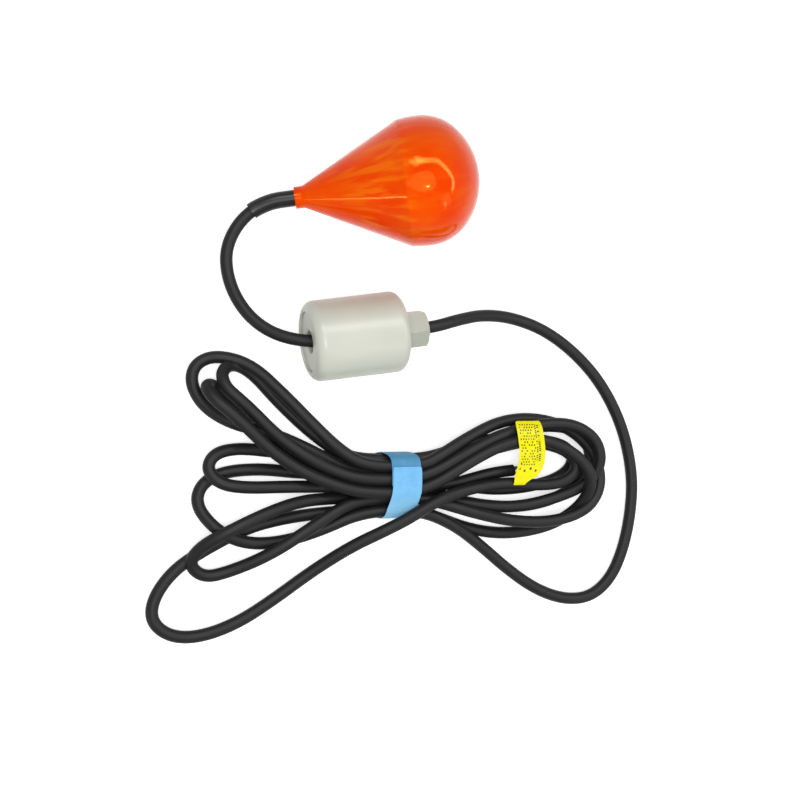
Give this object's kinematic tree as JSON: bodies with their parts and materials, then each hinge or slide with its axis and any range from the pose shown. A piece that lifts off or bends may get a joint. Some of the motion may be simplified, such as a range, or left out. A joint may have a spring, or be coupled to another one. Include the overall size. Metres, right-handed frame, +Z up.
{
  "type": "float level switch",
  "caption": "Pear-shaped float switch on a rubber lead, with a rolling ball and lever microswitch sealed inside, a clamped counterweight and a tied hank of lead.",
  "frame": {"origin": "on the floor under the middle of the box round the float and the counterweight", "axes": "+Z up, +X from the float's neck towards its dome, +Y from the hank towards the float"},
  "size_m": [0.3655, 0.354, 0.087],
  "materials": {
    "float_plastic": "glossy orange, lightly mottled",
    "boot": "satin heat-shrink",
    "seal_rubber": "matt",
    "inner_plastic": "moulded",
    "steel": "polished",
    "lead_jacket": "matt with a soft sheen",
    "core_brown": "extruded",
    "core_blue": "extruded",
    "core_black": "extruded",
    "race_plastic": "moulded",
    "switch_plastic": "moulded",
    "plunger": "moulded",
    "brass": "plain",
    "weight_plastic": "semi-gloss, slightly translucent",
    "iron": "as cast",
    "nut_plastic": "semi-gloss",
    "strap": "soft wrap tape",
    "label": "printed film"
  },
  "bodies": {
    "root": {"float_cone": "float_plastic", "float_dome": "float_plastic", "cable_boot": "boot", "cable_seal": "seal_rubber", "clamp_ring": "inner_plastic", "clamp_saddle": "inner_plastic", "clamp_screws": "steel", "jacket_end": "lead_jacket", "core_brown": "core_brown", "core_blue": "core_blue", "core_black": "core_black", "capsule_body": "inner_plastic", "capsule_cap": "inner_plastic", "capsule_seal": "seal_rubber", "support_spider": "inner_plastic", "ball_race": "race_plastic", "switch_case": "switch_plastic", "switch_screws": "steel", "lever_pin": "steel", "terminal_common": "brass", "terminal_open": "brass", "terminal_closed": "brass", "weight_shell": "weight_plastic", "weight_end_cap": "weight_plastic", "weight_core": "iron", "clamp_collet": "inner_plastic", "cable": "lead_jacket", "cable_hank": "lead_jacket", "hank_strap": "strap", "cable_label": "label"},
    "ball": {"steel_ball": "steel"},
    "lever": {"switch_lever": "steel"},
    "plunger": {"switch_plunger": "plunger"},
    "washer": {"thrust_washer": "steel"},
    "nut": {"clamp_nut": "nut_plastic"}
  },
  "joints": [
    {"name": "ball_roll", "type": "slide", "parent": "root", "child": "ball", "axis": [0.9418, 0.1324, 0.309], "range_m": [0, 0.0192]},
    {"name": "lever_swing", "type": "hinge", "parent": "root", "child": "lever", "pos_m": [0.02625, 0.03166, 0.03992], "axis": [-0.306, -0.043, 0.9511], "range_deg": [0, 3.5], "stiffness_Nm_per_rad": 0.005, "springref_deg": -5.73},
    {"name": "plunger_press", "type": "slide", "parent": "root", "child": "plunger", "axis": [-0.9418, -0.1324, -0.309], "range_m": [0, 0.0004]},
    {"name": "washer_slide", "type": "slide", "parent": "root", "child": "washer", "axis": [0.9914, 0.1305, 0], "range_m": [0, 0.0015]},
    {"name": "nut_turn", "type": "hinge", "parent": "washer", "child": "nut", "pos_m": [-0.0381, -0.0627, 0.0275], "axis": [0.9914, 0.1305, 0], "range_deg": [0, 360]}
  ],
  "couplings": [
    {"joint": "plunger_press", "follows": "lever_swing", "m_per_rad": 0.006},
    {"joint": "nut_turn", "follows": "washer_slide", "rad_per_m": 4188.8}
  ]
}
